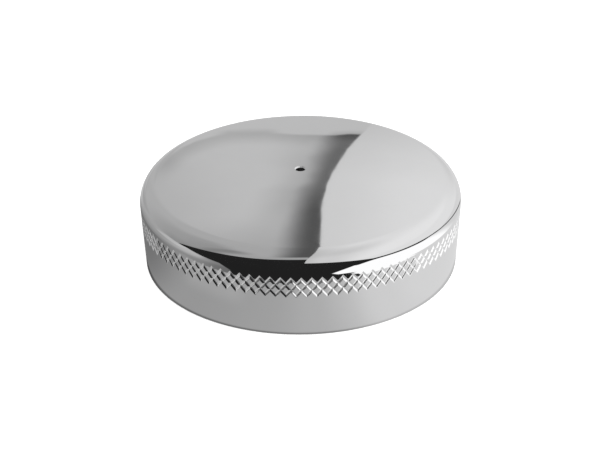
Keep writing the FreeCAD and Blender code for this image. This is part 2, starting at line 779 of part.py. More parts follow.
for item in doc.Objects:
    if "Invalid" in item.State or "Error" in item.State:
        raise RuntimeError(f"{item.Label} failed: {item.State}")
for part in sub_parts:
    if part.Shape.isNull() or not part.Shape.isValid() or len(part.Shape.Solids) != 1:
        raise RuntimeError(f"{part.Label} has no sound solid")

os.makedirs("parts", exist_ok=True)
for part in sub_parts:
    part.Shape.exportStep(f"parts/{part.Label}.step")
    box = part.Shape.BoundBox
    print(f"{part.Label}: {part.Shape.Volume:.1f} mm3, z {box.ZMin:.2f} to {box.ZMax:.2f}")
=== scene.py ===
import math

import bpy
import numpy as np
from mathutils import Matrix, Vector


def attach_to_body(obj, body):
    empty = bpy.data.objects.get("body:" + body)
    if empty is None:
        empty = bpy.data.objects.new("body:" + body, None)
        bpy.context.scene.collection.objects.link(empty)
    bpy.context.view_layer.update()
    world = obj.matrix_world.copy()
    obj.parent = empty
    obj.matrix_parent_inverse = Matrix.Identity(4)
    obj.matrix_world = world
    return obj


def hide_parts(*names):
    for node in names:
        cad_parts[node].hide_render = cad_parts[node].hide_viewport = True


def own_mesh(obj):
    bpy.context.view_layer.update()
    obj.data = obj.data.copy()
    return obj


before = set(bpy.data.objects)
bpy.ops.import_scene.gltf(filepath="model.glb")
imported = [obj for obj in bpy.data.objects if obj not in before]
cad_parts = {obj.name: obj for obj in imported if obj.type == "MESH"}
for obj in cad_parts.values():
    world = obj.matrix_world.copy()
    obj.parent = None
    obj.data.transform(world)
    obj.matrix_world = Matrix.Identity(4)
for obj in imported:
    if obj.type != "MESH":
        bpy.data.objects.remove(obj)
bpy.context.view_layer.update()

# Vented fuel cap: chrome shell with a knurled band, and the pressed, rubber and turned pieces
# inside it. Lengths are in metres, angles in radians unless a name says degrees. The origin is
# the centre of the foot, +Z points up through the vent hole, and the photograph looks from -Y.

MM, MICRON = 0.001, 0.000001

# Outside of the shell
TOTAL_HEIGHT = 21.3 * MM
OUTER_RADIUS = 35.0 * MM
CROWN_RADIUS = 218.0 * MM
SHOULDER_RADIUS = 4.5 * MM
SKIRT_DRAFT = math.radians(3.1)
FOOT_ROUNDING = 0.4 * MM
VENT_RADIUS = 1.0 * MM
VENT_BEVEL = 0.25 * MM

# Inside of the shell
SKIRT_WALL = 1.2 * MM
ROOF_THICKNESS = 1.2 * MM
LEDGE_WIDTH = 2.5 * MM
LEDGE_HEIGHT = 15.8 * MM
CAVITY_ROUNDING = 1.0 * MM

# Knurled band
KNURL_DROP = 0.77 * MM
KNURL_BAND = 3.8 * MM
KNURL_COUNT = 102
KNURL_LEVELS = 3
KNURL_GROOVE = 0.65 * MM
KNURL_DEPTH = 0.19 * MM
KNURL_BORDER = 0.15 * MM
ROOT_ROUNDING = 0.04 * MM
LAND_ROUNDING = 0.06 * MM
SKIRT_TOP_DRAFT = math.radians(2.4)

# Spring, fitted between its seat and the lock plate
SPRING_FOOT, SPRING_HEAD = 3.8 * MM, 11.6 * MM
SPRING_RADIUS = 7.1 * MM
WIRE_RADIUS = 0.6 * MM
SPRING_TURNS = 3.75

# Fineness of the meshes
COLUMNS = 2 * KNURL_COUNT
CROWN_STEPS, SHOULDER_STEPS, SKIRT_STEPS = 24, 20, 8
ROOF_STEPS, BORE_STEPS, WALL_STEPS, ROUNDING_STEPS = 14, 6, 2, 6
GROOVE_STEPS = 3
WIRE_SIDES, TURN_STEPS = 16, 48
MERGE = 1e-7


class Surface:
    """Faces with a normal at each of their corners. Corners that lie on one spot are merged."""

    def __init__(self):
        self.points, self.normals, self.faces, self.paints = [], [], [], []
        self.count = 0

    def add(self, points, normals, faces, paints):
        self.points.append(np.asarray(points))
        self.normals.append(np.asarray(normals))
        self.faces += [[self.count + corner for corner in face] for face in faces]
        self.paints += paints
        self.count += len(points)

    def build(self, name, materials):
        points, normals = np.concatenate(self.points), np.concatenate(self.normals)
        keys = np.round(points / MERGE).astype(np.int64)
        _, first, merged = np.unique(keys, axis=0, return_index=True, return_inverse=True)
        merged = merged.ravel()
        faces, paints, corners = [], [], []
        for face, paint in zip(self.faces, self.paints):
            kept = [c for i, c in enumerate(face) if merged[c] != merged[face[i - 1]]]
            if len(kept) > 2:
                faces.append([int(merged[corner]) for corner in kept])
                corners += kept
                paints.append(paint)
        mesh = bpy.data.meshes.new(name)
        mesh.from_pydata(points[first].tolist(), [], faces)
        mesh.polygons.foreach_set("material_index", paints)
        mesh.polygons.foreach_set("use_smooth", [True] * len(faces))
        mesh.normals_split_custom_set(normals[corners].tolist())
        for material in materials:
            mesh.materials.append(material)
        piece = bpy.data.objects.new(name, mesh)
        bpy.context.scene.collection.objects.link(piece)
        return piece


def stroke_line(start, end, steps=1):
    """Rows of radius, height and normal along a straight stroke. The solid lies on its right."""
    start, end = np.array(start), np.array(end)
    along = (end - start) / np.linalg.norm(end - start)
    share = np.linspace(0, 1, steps + 1)[:, None]
    normal = np.tile((-along[1], along[0]), (steps + 1, 1))
    return np.hstack([start + (end - start) * share, normal])


def stroke_arc(centre, radius, start_angle, end_angle, steps):
    """Rows along an arc. Angles run from straight up towards the outside."""
    angle = np.linspace(start_angle, end_angle, steps + 1)
    normal = np.stack([np.sin(angle), np.cos(angle)], axis=1)
    outward = 1 if end_angle > start_angle else -1
    return np.hstack([np.array(centre) + radius * normal, normal * outward])


def lathe(surface, rows, paint, columns=COLUMNS):
    """Turn the rows about the axis."""
    angle = np.arange(columns) * (2 * math.pi / columns)
    spoke = np.stack([np.sin(angle), np.cos(angle)], axis=1)
    points, normals = [], []
    for radius, height, outward, upward in rows:
        points.append(np.column_stack([spoke * radius, np.full(columns, height)]))
        normals.append(np.column_stack([spoke * outward, np.full(columns, upward)]))
    faces = []
    for row in range(len(rows) - 1):
        for column in range(columns):
            beside = (column + 1) % columns
            upper, lower = row * columns, (row + 1) * columns
            faces.append((upper + column, upper + beside, lower + beside, lower + column))
    surface.add(np.concatenate(points), np.concatenate(normals), faces, [paint] * len(faces))


# The shell's section. The dome's sphere, the shoulder's circle tangent to it, the sloping skirt
crown_centre = TOTAL_HEIGHT - CROWN_RADIUS
shoulder_r = OUTER_RADIUS - SHOULDER_RADIUS
shoulder_z = crown_centre + math.sqrt((CROWN_RADIUS - SHOULDER_RADIUS) ** 2 - shoulder_r ** 2)
crown_edge = math.asin(shoulder_r / (CROWN_RADIUS - SHOULDER_RADIUS))
flank_angle = math.pi / 2 + SKIRT_DRAFT
flank_r = shoulder_r + SHOULDER_RADIUS * math.cos(SKIRT_DRAFT)
flank_z = shoulder_z - SHOULDER_RADIUS * math.sin(SKIRT_DRAFT)
foot_r = flank_r - flank_z * math.tan(SKIRT_DRAFT)
bore_r = foot_r - SKIRT_WALL
cavity_r = bore_r - LEDGE_WIDTH

# The knurled band. Heights count in levels: the grooves cross on level 0, 1, 2 and 3
level_rise = KNURL_BAND / KNURL_LEVELS
knurl_low = flank_z - KNURL_DROP - KNURL_BAND
half_turn_step = math.pi / KNURL_COUNT


def skirt_radius(height):
    return foot_r + height * math.tan(SKIRT_DRAFT)


half_pitch = skirt_radius(knurl_low) * half_turn_step
cell_width = half_pitch * level_rise / math.hypot(half_pitch, level_rise)
groove_half = KNURL_GROOVE / 2
groove_slope = KNURL_DEPTH / groove_half
groove_share = groove_half / cell_width
edge_share = (groove_half + LAND_ROUNDING) / cell_width
border_levels = groove_share + KNURL_BORDER / level_rise
band_bottom = knurl_low - border_levels * level_rise
band_top = knurl_low + KNURL_BAND + border_levels * level_rise

# Lines beside a groove, as shares of the way from its bottom to the middle of a diamond
GROOVE_LINES = [
    0,
    ROOT_ROUNDING / cell_width,
    groove_share / 2,
    (groove_half - LAND_ROUNDING) / cell_width,
    groove_share,
    edge_share,
    (1 + edge_share) / 2,
    1,
]
WALL_LINES = [line for line in GROOVE_LINES if line <= edge_share]


def groove_height(distance):
    """Height under the land, and its slope, at a distance from the bottom of a groove."""
    root, edge = ROOT_ROUNDING, LAND_ROUNDING
    height = -KNURL_DEPTH + groove_slope * distance
    slope = np.full_like(distance, groove_slope)
    deep = distance < root
    height = np.where(deep, groove_slope * (distance ** 2 / root + root) / 2 - KNURL_DEPTH, height)
    slope = np.where(deep, groove_slope * distance / root, slope)
    left = np.clip(groove_half + edge - distance, 0, None)
    high = distance > groove_half - edge
    height = np.where(high, -groove_slope * left ** 2 / (4 * edge), height)
    slope = np.where(high, groove_slope * left / (2 * edge), slope)
    return height, slope


def knurl_patch(surface, place, mirrored, turned_over, pattern, draft=SKIRT_DRAFT):
    """Wrap a flat patch round the skirt. Its groove starts in its lower corner at 0, 0.

    A mirrored patch has its groove start in the other lower corner, and one that is turned
    over has its lower edge on top. The draft is the slope that its shading shows.
    """
    column, level = place
    shares, faces, paints = pattern
    across, up = shares[:, 0], shares[:, 1]
    gap = across - up
    depth, slope = groove_height(np.abs(gap) * cell_width)
    pull = slope * cell_width * np.sign(gap)
    pull_across, pull_up = pull, -pull
    if mirrored:
        across, pull_across = 1 - across, -pull_across
    if turned_over:
        up, pull_up = 1 - up, -pull_up
    angle = (column + across) * half_turn_step
    height = knurl_low + (level + up) * level_rise
    radius = skirt_radius(height) + depth
    radius_turn = pull_across / half_turn_step
    radius_rise = math.tan(draft) + pull_up / level_rise
    spoke = np.stack([np.sin(angle), np.cos(angle), np.zeros_like(angle)], axis=1)
    along = np.stack([np.cos(angle), -np.sin(angle), np.zeros_like(angle)], axis=1)
    points = spoke * radius[:, None]
    points[:, 2] = height
    normals = spoke * radius[:, None] - along * radius_turn[:, None]
    normals[:, 2] = -radius * radius_rise
    normals /= np.linalg.norm(normals, axis=1)[:, None]
    if mirrored != turned_over:
        faces = [face[::-1] for face in faces]
    surface.add(points, normals, faces, paints)


def cell_pattern(land, wall):
    """One cell of the knurl: a groove from corner to corner, with half a diamond on each side."""
    shares, faces, paints = [], [], []
    steps = np.linspace(0, 1, GROOVE_STEPS + 1)[:, None]
    for below in (True, False):
        start = len(shares)
        for line in GROOVE_LINES:
            ends = np.array([(line, 0), (1, 1 - line)] if below else [(0, line), (1 - line, 1)])
            shares += (ends[0] + (ends[1] - ends[0]) * steps).tolist()
        row = GROOVE_STEPS + 1
        for line in range(len(GROOVE_LINES) - 1):
            for step in range(GROOVE_STEPS):
                corner = start + line * row + step
                quad = (corner, corner + row, corner + row + 1, corner + 1)
                faces.append(quad[::-1] if below else quad)
                paints.append(wall if GROOVE_LINES[line] < groove_share else land)
    return np.array(shares), faces, paints


def border_pattern(land, wall):
    """The edge of the band beside a crossing: ends of the groove walls and a plain strip."""
    shares, faces = [], []
    for line in WALL_LINES:
        shares += [(line, 0), (line / 2, -line / 2), (0, -line)]
    for line in range(len(WALL_LINES) - 1):
        for step in range(2):
            corner = line * 3 + step
            faces.append((corner, corner + 3, corner + 4, corner + 1))
    wall_end = (len(WALL_LINES) - 1) * 3
    flat = [wall_end + 2, wall_end + 1, wall_end]
    for line in GROOVE_LINES[len(WALL_LINES):]:
        flat.append(len(shares))
        shares.append((line, 0))
    for corner in ((1, -border_levels), (0, -border_levels)):
        flat.append(len(shares))
        shares.append(corner)
    faces.append(tuple(flat))
    return np.array(shares), faces, [wall] * (len(faces) - 1) + [land]


def knurled_band(surface, land, wall):
    """The band. Of its two sets of grooves only the mirrored one has walls of its own paint, painted
    lighter: painted light that lifts the dark those walls mirror.
    """
    cells = [cell_pattern(land, land), cell_pattern(land, wall)]
    borders = [border_pattern(land, land), border_pattern(land, wall)]
    for column in range(COLUMNS):
        for level in range(KNURL_LEVELS):
            mirrored = (column + level) % 2 == 0
            knurl_patch(surface, (column, level), mirrored, False, cells[mirrored])
        mirrored = column % 2 == 0
        knurl_patch(surface, (column, 0), mirrored, False, borders[mirrored])
        mirrored = (column + KNURL_LEVELS) % 2 == 0
        top = (column, KNURL_LEVELS - 1)
        knurl_patch(surface, top, mirrored, True, borders[not mirrored], SKIRT_TOP_DRAFT)


def build_shell(materials):
    """The shell as one closed skin: polished outside, duller inside, and duller and painted lighter on
    one set of groove walls, as painted light that lifts the dark they mirror.
    """
    polished, lightened_walls, plated = range(len(materials))
    surface = Surface()
    bevel_r = VENT_RADIUS + VENT_BEVEL
    bevel_angle = math.asin(bevel_r / CROWN_RADIUS)
    bevel_z = crown_centre + CROWN_RADIUS * math.cos(bevel_angle)
    vent_top = bevel_z - VENT_BEVEL
    lathe(surface, stroke_line((VENT_RADIUS, vent_top), (bevel_r, bevel_z)), polished)
    crown = stroke_arc((0, crown_centre), CROWN_RADIUS, bevel_angle, crown_edge, CROWN_STEPS)
    lathe(surface, crown, polished)
    shoulder_centre = (shoulder_r, shoulder_z)
    lathe(surface, stroke_arc(shoulder_centre, SHOULDER_RADIUS, crown_edge, flank_angle,
                              SHOULDER_STEPS), polished)
    lathe(surface, stroke_line((flank_r, flank_z), (skirt_radius(band_top), band_top)), polished)
    # One set of groove walls takes the lighter groove paint: painted light.
    knurled_band(surface, polished, lightened_walls)

    # Foot: a small rounding between the skirt and the sole
    half_corner = (math.pi / 2 + SKIRT_DRAFT) / 2
    reach = FOOT_ROUNDING * math.tan(half_corner)
    rounding_r = foot_r - reach
    skirt_end_r = rounding_r + FOOT_ROUNDING * math.cos(SKIRT_DRAFT)
    skirt_end_z = FOOT_ROUNDING - FOOT_ROUNDING * math.sin(SKIRT_DRAFT)
    skirt_top, skirt_end = (skirt_radius(band_bottom), band_bottom), (skirt_end_r, skirt_end_z)
    lathe(surface, stroke_line(skirt_top, skirt_end, SKIRT_STEPS), polished)
    lathe(surface, stroke_arc((rounding_r, FOOT_ROUNDING), FOOT_ROUNDING, flank_angle, math.pi,
                              ROUNDING_STEPS), polished)
    lathe(surface, stroke_line((rounding_r, 0), (bore_r, 0)), plated)

    # Inside: bore, ledge, air space and the underside of the dome
    roof_radius = CROWN_RADIUS - ROOF_THICKNESS
    rounding_reach = cavity_r - CAVITY_ROUNDING
    rounding_z = crown_centre + math.sqrt((roof_radius - CAVITY_ROUNDING) ** 2 - rounding_reach ** 2)
    roof_edge = math.asin(rounding_reach / (roof_radius - CAVITY_ROUNDING))
    vent_angle = math.asin(VENT_RADIUS / roof_radius)
    vent_bottom = crown_centre + roof_radius * math.cos(vent_angle)
    lathe(surface, stroke_line((bore_r, 0), (bore_r, LEDGE_HEIGHT), BORE_STEPS), plated)
    lathe(surface, stroke_line((bore_r, LEDGE_HEIGHT), (cavity_r, LEDGE_HEIGHT)), plated)
    cavity_top = (cavity_r, rounding_z)
    lathe(surface, stroke_line((cavity_r, LEDGE_HEIGHT), cavity_top, WALL_STEPS), plated)
    lathe(surface, stroke_arc((rounding_reach, rounding_z), CAVITY_ROUNDING, math.pi / 2, roof_edge,
                              ROUNDING_STEPS), plated)
    roof = stroke_arc((0, crown_centre), roof_radius, roof_edge, vent_angle, ROOF_STEPS)
    lathe(surface, roof, plated)
    vent = stroke_line((VENT_RADIUS, vent_bottom), (VENT_RADIUS, vent_top), WALL_STEPS)
    lathe(surface, vent, plated)
    return surface.build("chrome_shell", materials)


def build_spring(material):
    """Coil of round wire, its ends ground flat at the seat and at the lock plate."""
    steps = int(SPRING_TURNS * TURN_STEPS)
    turn = np.linspace(0, SPRING_TURNS * 2 * math.pi, steps + 1)
    pitch = (SPRING_HEAD - SPRING_FOOT) / SPRING_TURNS
    lean = math.atan(pitch / (2 * math.pi * SPRING_RADIUS))
    points, normals = [], []
    for angle in turn:
        spoke = Vector((math.cos(angle), math.sin(angle), 0))
        along = Vector((-math.sin(angle), math.cos(angle), math.tan(lean))).normalized()
        lift = spoke.cross(along)
        centre = spoke * SPRING_RADIUS
        centre.z = SPRING_FOOT + pitch * angle / (2 * math.pi)
        for index in range(WIRE_SIDES):
            swing = 2 * math.pi * index / WIRE_SIDES
            normal = spoke * math.cos(swing) + lift * math.sin(swing)
            point = centre + normal * WIRE_RADIUS
            if not SPRING_FOOT < point.z < SPRING_HEAD:
                point.z = min(max(point.z, SPRING_FOOT), SPRING_HEAD)
                normal = Vector((0, 0, -1 if point.z == SPRING_FOOT else 1))
            points.append(point)
            normals.append(normal)
    faces = []
    for ring in range(steps):
        for index in range(WIRE_SIDES):
            beside = (index + 1) % WIRE_SIDES
            here, there = ring * WIRE_SIDES, (ring + 1) * WIRE_SIDES
            faces.append((here + index, there + index, there + beside, here + beside))
    faces.append(list(range(WIRE_SIDES)))
    faces.append([steps * WIRE_SIDES + index for index in range(WIRE_SIDES)][::-1])
    surface = Surface()
    surface.add([tuple(p) for p in points], [tuple(n) for n in normals], faces, [0] * len(faces))
    return surface.build("coil_spring", [material])


class Term:
    """A number that a node tree works out, written with ordinary arithmetic."""

    def __init__(self, graph, socket):
        self.graph, self.socket = graph, socket

    def joined(self, operation, first, second):
        return self.graph.math(operation, first, second)

    def __add__(self, other):
        return self.joined("ADD", self, other)

    def __sub__(self, other):
        return self.joined("SUBTRACT", self, other)

    def __mul__(self, other):
        return self.joined("MULTIPLY", self, other)

    def __truediv__(self, other):
        return self.joined("DIVIDE", self, other)

    def __rsub__(self, other):
        return self.joined("SUBTRACT", other, self)

    def __neg__(self):
        return self.joined("MULTIPLY", self, -1.0)

    __radd__, __rmul__ = __add__, __mul__


class Graph:
    """Short calls for building a node tree."""

    def __init__(self, tree):
        self.tree = tree
        tree.nodes.clear()

    def node(self, kind, inputs=(), **settings):
        node = self.tree.nodes.new(kind)
        for name, value in settings.items():
            setattr(node, name, value)
        for name, value in dict(inputs).items():
            self.feed(node.inputs[name], value)
        return node

    def feed(self, socket, value):
        """A link from a Term or another socket, or else a plain value."""
        value = value.socket if isinstance(value, Term) else value
        if isinstance(value, bpy.types.NodeSocket):
            self.tree.links.new(value, socket)
        else:
            socket.default_value = value

    def math(self, operation, first, second=0.0):
        node = self.node("ShaderNodeMath", {0: first, 1: second}, operation=operation)
        return Term(self, node.outputs[0])

    def larger(self, first, second):
        return self.math("MAXIMUM", first, second)

    def smaller(self, first, second):
        return self.math("MINIMUM", first, second)

    def apart(self, value, middle):
        """How far the value is from the middle, either way."""
        return self.math("ABSOLUTE", value - middle)

    def length(self, first, second):
        return self.math("SQRT", first * first + second * second)

    def turn(self, across, along):
        """Degrees from along, positive towards across."""
        return self.math("ARCTAN2", across, along) * math.degrees(1)

    def smooth(self, value, start, end, low=0.0, high=1.0):
        """Runs smoothly from low to high as the value goes from start to end."""
        inputs = {"Value": value, "From Min": start, "From Max": end, "To Min": low, "To Max": high}
        node = self.node("ShaderNodeMapRange", inputs, interpolation_type="SMOOTHSTEP")
        return Term(self, node.outputs["Result"])

    def runs(self, value, *pieces):
        """The sum of smooth runs, each given by its start, end, low and high."""
        return sum(self.smooth(value, *piece) for piece in pieces)

    def spread(self, value, start, end, low, high):
        """Runs straight from low to high as the value goes from start to end."""
        inputs = {"Value": value, "From Min": start, "From Max": end, "To Min": low, "To Max": high}
        return Term(self, self.node("ShaderNodeMapRange", inputs).outputs["Result"])

    def mix(self, share, first, second):
        """Colours, as four numbers or a link, mixed by a share."""
        node = self.node("ShaderNodeMix", data_type="RGBA")
        for socket, value in ((0, share), (6, first), (7, second)):
            self.feed(node.inputs[socket], value)
        return node.outputs[2]

    def noise(self, position, scale, detail=2.0, roughness=0.5):
        inputs = {"Vector": position, "Scale": scale, "Detail": detail, "Roughness": roughness}
        return Term(self, self.node("ShaderNodeTexNoise", inputs).outputs["Fac"])

    def stretched(self, position, scale):
        """The position with its three directions scaled apart, for a grain that runs one way."""
        inputs = {0: position, 1: scale}
        return self.node("ShaderNodeVectorMath", inputs, operation="MULTIPLY").outputs[0]

    def bump(self, height, distance, normal=None):
        inputs = {"Height": height, "Distance": distance}
        if normal is not None:
            inputs["Normal"] = normal
        return self.node("ShaderNodeBump", inputs).outputs["Normal"]

    def parts(self, vector):
        outputs = self.node("ShaderNodeSeparateXYZ", {0: vector}).outputs
        return [Term(self, output) for output in outputs]

    def joined(self, first, second, third):
        return self.node("ShaderNodeCombineXYZ", {0: first, 1: second, 2: third}).outputs[0]

    def rings(self, position, fineness, run):
        """Noise in fine rings about the cap's axis, that change slowly along each ring."""
        x, y, height = self.parts(position)
        across = self.length(x, y)
        around = self.joined(across * fineness, x / across * run, y / across * run + height * fineness)
        return self.noise(around, 1.0, detail=2)


def colour(red, green, blue):
    return red, green, blue, 1.0


WHITE = colour(1, 1, 1)


def new_material(name):
    material = bpy.data.materials.new(name)
    material.use_nodes = True
    graph = Graph(material.node_tree)
    position = graph.node("ShaderNodeTexCoord").outputs["Object"]
    shader = graph.node("ShaderNodeBsdfPrincipled")
    output = graph.node("ShaderNodeOutputMaterial")
    graph.tree.links.new(shader.outputs[0], output.inputs[0])
    return material, graph, position, shader


def attach(graph, shader, base, rough, normal, metal=1.0):
    graph.feed(shader.inputs["Base Color"], base)
    graph.feed(shader.inputs["Roughness"], rough)
    graph.feed(shader.inputs["Normal"], normal)
    shader.inputs["Metallic"].default_value = metal


def chrome_material():
    """Bright plating over polished metal: it mirrors, with faint waves and polishing marks."""
    material, graph, position, shader = new_material("polished_chrome")
    waves = graph.noise(position, 120, detail=1)
    ripple = graph.noise(position, 520, detail=2)
    haze = graph.noise(position, 90, detail=4, roughness=0.65)
    scuffs = graph.noise(graph.stretched(position, (900, 5200, 5200)), 1.0, detail=3)
    normal = graph.bump(waves, 16 * MICRON)
    normal = graph.bump(ripple, 0.7 * MICRON, normal=normal)
    normal = graph.bump(scuffs, 0.08 * MICRON, normal=normal)
    tint = graph.mix(haze, colour(0.835, 0.835, 0.84), colour(0.875, 0.875, 0.88))
    rough = graph.spread(haze, 0.3, 0.75, 0.02, 0.05)
    attach(graph, shader, tint, rough, normal)
    return material


def lightened_groove_material():
    """The same plating on the walls of one set of grooves, painted lighter and a little milky: painted
    light that lifts the dark those walls mirror.
    """
    material, graph, position, shader = new_material("groove_chrome_painted_light")
    haze = graph.noise(position, 700, detail=4, roughness=0.6)
    # Lighter than the polished chrome: painted light.
    base = graph.mix(haze, colour(0.9, 0.9, 0.9), colour(0.97, 0.97, 0.97))
    rough = graph.spread(haze, 0.3, 0.75, 0.04, 0.1)
    normal = graph.bump(graph.noise(position, 2600, detail=3), 2 * MICRON)
    attach(graph, shader, base, rough, normal, metal=0.86)
    return material


def plated_inside_material():
    """The unpolished inside of the shell: thin dull plating over a turned surface."""
    material, graph, position, shader = new_material("plated_inside")
    patches = graph.noise(position, 140, detail=4, roughness=0.6)
    base = graph.mix(patches, colour(0.5, 0.5, 0.49), colour(0.66, 0.665, 0.67))
    rough = graph.spread(patches, 0.3, 0.7, 0.28, 0.42)
    normal = graph.bump(graph.rings(position, 6000, 2), 12 * MICRON)
    attach(graph, shader, base, rough, normal)
    return material


def zinc_material():
    """Pale zinc plating on a pressing: cloudy, with fine scratches that run all ways."""
    material, graph, position, shader = new_material("zinc_plate")
    cloud = graph.noise(position, 110, detail=5, roughness=0.62)
    spangle = graph.node("ShaderNodeTexVoronoi", {"Vector": position, "Scale": 900.0})
    flake = Term(graph, spangle.outputs["Distance"])
    scratch = graph.noise(graph.stretched(position, (300, 6000, 6000)), 1.0)
    cross = graph.noise(graph.stretched(position, (6000, 400, 6000)), 1.0)
    base = graph.mix(cloud, colour(0.52, 0.53, 0.53), colour(0.68, 0.685, 0.69))
    tinted = graph.mix(flake * 0.25, base, colour(0.66, 0.66, 0.6))
    rough = graph.spread(cloud, 0.3, 0.72, 0.3, 0.48)
    normal = graph.bump(scratch + cross * 0.6, 14 * MICRON)
    normal = graph.bump(flake, 6 * MICRON, normal=normal)
    attach(graph, shader, tinted, rough, normal)
    return material


def rubber_material():
    """Moulded black rubber with a fine grain and a little dust."""
    material, graph, position, shader = new_material("gasket_rubber")
    grain = graph.noise(position, 4200, detail=3)
    cloud = graph.noise(position, 160, detail=4, roughness=0.6)
    dust = graph.smooth(graph.noise(position, 900, detail=4), 0.56, 0.74, 0, 0.16)
    base = graph.mix(cloud, colour(0.022, 0.022, 0.023), colour(0.04, 0.04, 0.041))
    base = graph.mix(dust, base, colour(0.2, 0.195, 0.185))
    rough = graph.spread(cloud, 0.3, 0.7, 0.58, 0.74)
    attach(graph, shader, base, rough, graph.bump(grain, 30 * MICRON), metal=0.0)
    return material


def turned_steel_material():
    """Bright steel with the fine rings that a lathe leaves."""
    material, graph, position, shader = new_material("turned_steel")
    hammered = graph.noise(position, 1500, detail=1)
    cloud = graph.noise(position, 300, detail=4)
    base = graph.mix(cloud, colour(0.58, 0.58, 0.57), colour(0.7, 0.7, 0.69))
    rough = graph.spread(cloud, 0.3, 0.7, 0.2, 0.34)
    normal = graph.bump(graph.rings(position, 11000, 1), 12 * MICRON)
    normal = graph.bump(hammered, 50 * MICRON, normal=normal)
    attach(graph, shader, base, rough, normal)
    return material


def lock_steel_material():
    """Satin plated sheet with the rolling grain along the ears and scuffed high spots."""
    material, graph, position, shader = new_material("lock_steel")
    grain = graph.noise(graph.stretched(position, (5200, 260, 5200)), 1.0, detail=3)
    cloud = graph.noise(position, 170, detail=5, roughness=0.6)
    scuffs = graph.smooth(graph.noise(graph.stretched(position, (1800, 420, 1800)), 1.0, 3), 0.58, 0.72)
    base = graph.mix(cloud, colour(0.5, 0.5, 0.48), colour(0.64, 0.64, 0.62))
    base = graph.mix(scuffs * 0.5, base, colour(0.74, 0.74, 0.73))
    rough = graph.spread(cloud - scuffs * 0.25, 0.1, 0.7, 0.22, 0.42)
    normal = graph.bump(grain, 16 * MICRON)
    normal = graph.bump(scuffs, -10 * MICRON, normal=normal)
    attach(graph, shader, base, rough, normal)
    return material


def spring_steel_material():
    """Drawn wire: darker, with fine lines along the coil and an oily bloom."""
    material, graph, position, shader = new_material("spring_steel")
    cloud = graph.noise(position, 420, detail=4)
    base = graph.mix(cloud, colour(0.4, 0.4, 0.4), colour(0.56, 0.56, 0.55))
    rough = graph.spread(cloud, 0.3, 0.7, 0.24, 0.4)
    normal = graph.bump(graph.rings(position, 9000, 1.5), 10 * MICRON)
    attach(graph, shader, base, rough, normal)
    return material


chrome = chrome_material()
# The groove paint lightens one set of groove walls: painted light that lifts the dark they mirror.
shell = build_shell([chrome, lightened_groove_material(), plated_inside_material()])
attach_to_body(shell, "cap")
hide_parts("cap_shell")

spring = build_spring(spring_steel_material())
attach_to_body(spring, "cap")
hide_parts("lock_spring")
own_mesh(spring)

zinc, lock_steel = zinc_material(), lock_steel_material()
node_materials = {
    "backing_plate": zinc,
    "gasket_cup": zinc,
    "sealing_gasket": rubber_material(),
    "centre_stud": turned_steel_material(),
    "lock_plate": lock_steel,
    "spring_seat": lock_steel,
}
for node, material in node_materials.items():
    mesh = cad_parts[node].data
    mesh.materials.clear()
    mesh.materials.append(material)


# Studio. For mirrored rays only, the world and the floor glow with painted reflections: a pale
# wall on the right and a grey one on the left, the dark room behind the camera, and a white panel
# low at the right. Tones are a picture's greys, 0 to 255, and each run of a tone was set by
# comparing the render with the photograph. Directions are in degrees here, and places on the floor
# in millimetres from the cap's axis.

# Tones
WHITE_TONE, UNDER_TONE = 255, 240
PALE_FLOOR_TONE, GREY_FLOOR_TONE = 210, 112
BACK_FLOOR_TONE = 206
BASE_TONE = 184.5
HIGH_TONE, OVERHEAD_TONE = 166, 164
GLINT_TONE = 158
SHADE_TONE = 102
SEAM_TONE, ROOM_TONE = 50, 31

# The stored tone of a light, and the share of the light that the chrome mirrors
TONE_LIFT, TONE_GAMMA = 0.055, 2.4
REFLECTANCE = 0.86

# The edge between the two walls: its place, its bulge, and its bend at the far side
EDGE_PLACE, EDGE_SOFTNESS = 0.031, 0.0015
BULGE_MIDDLE, BULGE_REACH = -0.06, 0.77
BULGE, BULGE_PEAK = 0.03, 0.016
BEND_START, BEND = 0.78, 1.33

# The base along the grey wall's foot: the height of its upper edge, which rises to the right of
# where it turns and falls to the left of it
BASE_RISE, BASE_TURN = 14.2, -5
BASE_SLOPE, BASE_LIFT, BASE_FALL = 0.38, 2, 0.17

# The white panel's upper edge and the seam over it
PANEL_RISE, PANEL_FALL = 16.3, 0.0017
SEAM_RISE, SEAM_HEIGHT = 0.3, 2.5

# The dark room behind the camera
ROOM_WIDTH, ROOM_HEIGHT = 91, 55
RIGHT_HEIGHT, RIGHT_FALL = 36.5, 0.0088
STEP_START, STEP_END, STEP_DROP, STEP_FALL = 34.5, 56, 3, 0.034
ROOM_EDGE, STRAIGHT_DOWN = 0.7, -90

# The dark floor in front, a painted reflection only: two straight lines on its left, each a slope
# and a place, a line that leans out farther away on its right, and a ring close to the cap
DARK_LEFT, DARK_LEFT_FAR = (0.567, -26.4), (0.138, -57)
DARK_RIGHT, LEAN_START, LEAN = 16.5, 61.4, 0.71
RING_EDGE, RING_TURN, RING_FALL = 55.4, 19.4, 0.024

# The dark seam across the white floor on the right, painted in its reflection only: its place, slope,
# and how it widens
FLOOR_SEAM, FLOOR_SEAM_SLOPE, FLOOR_SEAM_START = 21, 0.17, 30
FLOOR_SEAM_WIDTH, FLOOR_SEAM_CORE = 0.08, 0.055

# The floor: its size in metres, the part inside the foot, and the part close to the cap
FLOOR_SIZE = 6.0
UNDER_START, UNDER_END = 32.5, 31.5
NEAR_START, NEAR_END = 52.5, 52.2
FLOOR_GREY, FLOOR_GLOW, UNDER_GLOW = 0.8, 0.5, 0.6
WALL_LIGHT = 0.75

# Name, place, size and power of the lamps
LAMPS = [
    ("key_lamp", (0.25, -0.2, 0.5), 0.3, 2.0),
    ("fill_lamp", (-0.35, 0.15, 0.4), 0.35, 1.0),
]

